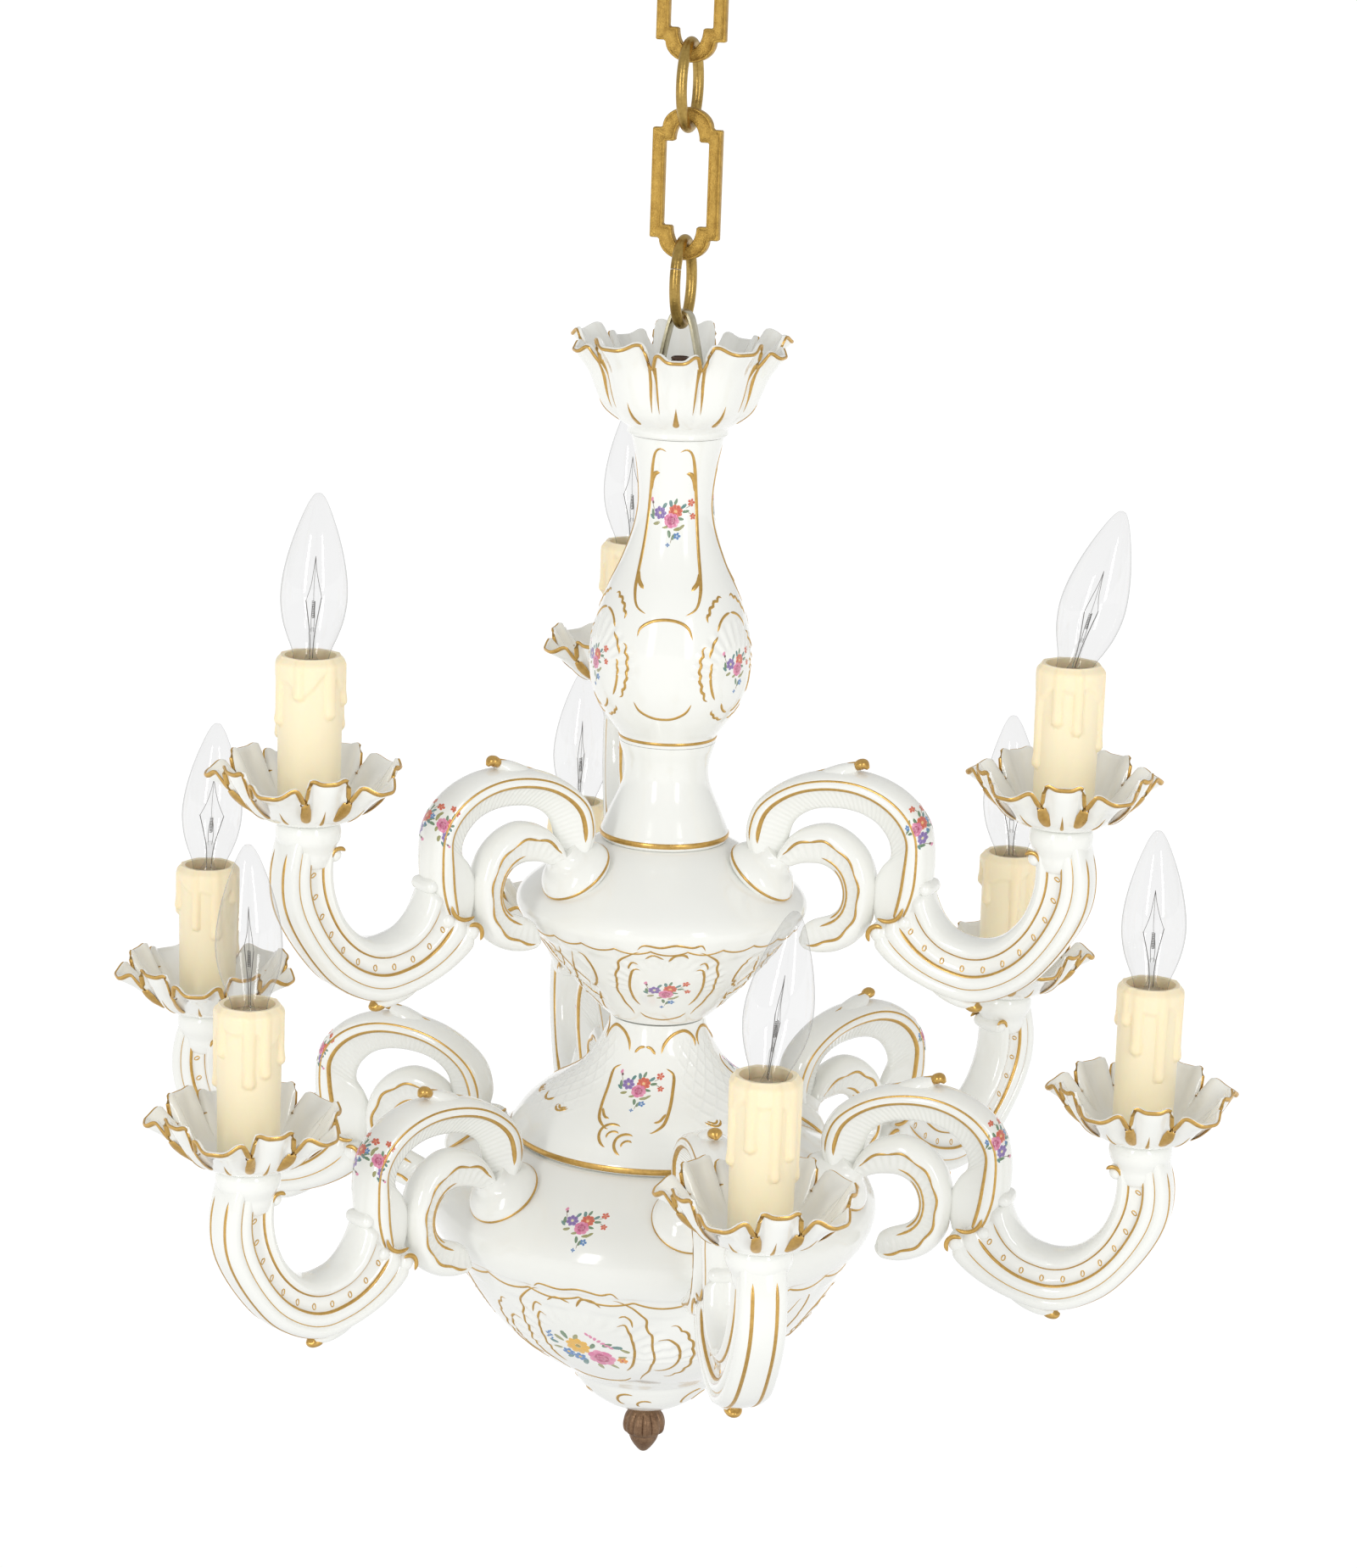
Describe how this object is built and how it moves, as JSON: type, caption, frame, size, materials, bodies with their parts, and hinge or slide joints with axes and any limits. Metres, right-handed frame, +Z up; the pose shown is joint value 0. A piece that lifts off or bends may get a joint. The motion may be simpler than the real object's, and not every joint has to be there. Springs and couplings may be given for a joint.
{
  "type": "multi arm chandelier",
  "caption": "Two-tier porcelain chandelier with scrolling candle arms around a turned centre stack, hung on a brass chain from a ceiling eye.",
  "frame": {"origin": "centre of the ceiling eye's flat top face, where it meets the ceiling", "axes": "+Z up along the chain and the stem; the first lower arm points along -Y; +X to the right of it"},
  "size_m": [0.5402, 0.6096, 0.8233],
  "materials": {
    "porcelain": "white porcelain under a clear high-gloss glaze, gilded and painted with flowers; opaque",
    "polished_brass": "plain drawn brass wire and sheet, slightly dulled",
    "antique_brass": "cast brass with a raised border and a grainy darkened ground",
    "bail_steel": "thin steel strap with worn brass plating",
    "stem_steel": "threaded steel tube, browned",
    "bronze": "dark patinated bronze casting, satin",
    "bakelite": "dark moulded lampholder",
    "candle_wax": "cream wax-look candle cover with soft drips, satin",
    "bulb_glass": "clear blown glass"
  },
  "bodies": {
    "ceiling_mount": {"ceiling_eye": "polished_brass"},
    "upper_link": {"chain_link_upper": "antique_brass"},
    "upper_ring": {"chain_ring_upper": "polished_brass"},
    "lower_link": {"chain_link_lower": "antique_brass"},
    "lower_ring": {"chain_ring_lower": "polished_brass"},
    "chandelier": {"hanging_bail": "bail_steel", "stem_tube": "stem_steel", "stem_locknut": "bail_steel", "crown": "porcelain", "baluster": "porcelain", "neck": "porcelain", "upper_hub": "porcelain", "skirt": "porcelain", "lower_hub": "porcelain", "finial": "bronze", "arm_upper_1": "porcelain", "bobeche_upper_1": "porcelain", "lampholder_upper_1": "bakelite", "candle_sleeve_upper_1": "candle_wax", "bulb_upper_1": "bulb_glass", "arm_upper_2": "porcelain", "bobeche_upper_2": "porcelain", "lampholder_upper_2": "bakelite", "candle_sleeve_upper_2": "candle_wax", "bulb_upper_2": "bulb_glass", "arm_upper_3": "porcelain", "bobeche_upper_3": "porcelain", "lampholder_upper_3": "bakelite", "candle_sleeve_upper_3": "candle_wax", "bulb_upper_3": "bulb_glass", "arm_lower_1": "porcelain", "bobeche_lower_1": "porcelain", "lampholder_lower_1": "bakelite", "candle_sleeve_lower_1": "candle_wax", "bulb_lower_1": "bulb_glass", "arm_lower_2": "porcelain", "bobeche_lower_2": "porcelain", "lampholder_lower_2": "bakelite", "candle_sleeve_lower_2": "candle_wax", "bulb_lower_2": "bulb_glass", "arm_lower_3": "porcelain", "bobeche_lower_3": "porcelain", "lampholder_lower_3": "bakelite", "candle_sleeve_lower_3": "candle_wax", "bulb_lower_3": "bulb_glass", "arm_lower_4": "porcelain", "bobeche_lower_4": "porcelain", "lampholder_lower_4": "bakelite", "candle_sleeve_lower_4": "candle_wax", "bulb_lower_4": "bulb_glass", "arm_lower_5": "porcelain", "bobeche_lower_5": "porcelain", "lampholder_lower_5": "bakelite", "candle_sleeve_lower_5": "candle_wax", "bulb_lower_5": "bulb_glass", "arm_lower_6": "porcelain", "bobeche_lower_6": "porcelain", "lampholder_lower_6": "bakelite", "candle_sleeve_lower_6": "candle_wax", "bulb_lower_6": "bulb_glass"}
  },
  "joints": [
    {"name": "upper_link_swing", "type": "hinge", "parent": "ceiling_mount", "child": "upper_link", "pos_m": [0, 0, -0.03025], "axis": [0.5, 0.866, 0], "range_deg": [-20, 20]},
    {"name": "upper_ring_swing", "type": "hinge", "parent": "upper_link", "child": "upper_ring", "pos_m": [0, 0, -0.09185], "axis": [0.866, -0.5, 0], "range_deg": [-20, 20]},
    {"name": "lower_link_swing", "type": "hinge", "parent": "upper_ring", "child": "lower_link", "pos_m": [0, 0, -0.12655], "axis": [0.5, 0.866, 0], "range_deg": [-20, 20]},
    {"name": "lower_ring_swing", "type": "hinge", "parent": "lower_link", "child": "lower_ring", "pos_m": [0, 0, -0.18815], "axis": [0.866, -0.5, 0], "range_deg": [-20, 20]},
    {"name": "chandelier_swing", "type": "hinge", "parent": "lower_ring", "child": "chandelier", "pos_m": [0, 0, -0.22285], "axis": [0.5, 0.866, 0], "range_deg": [-20, 20]}
  ]
}
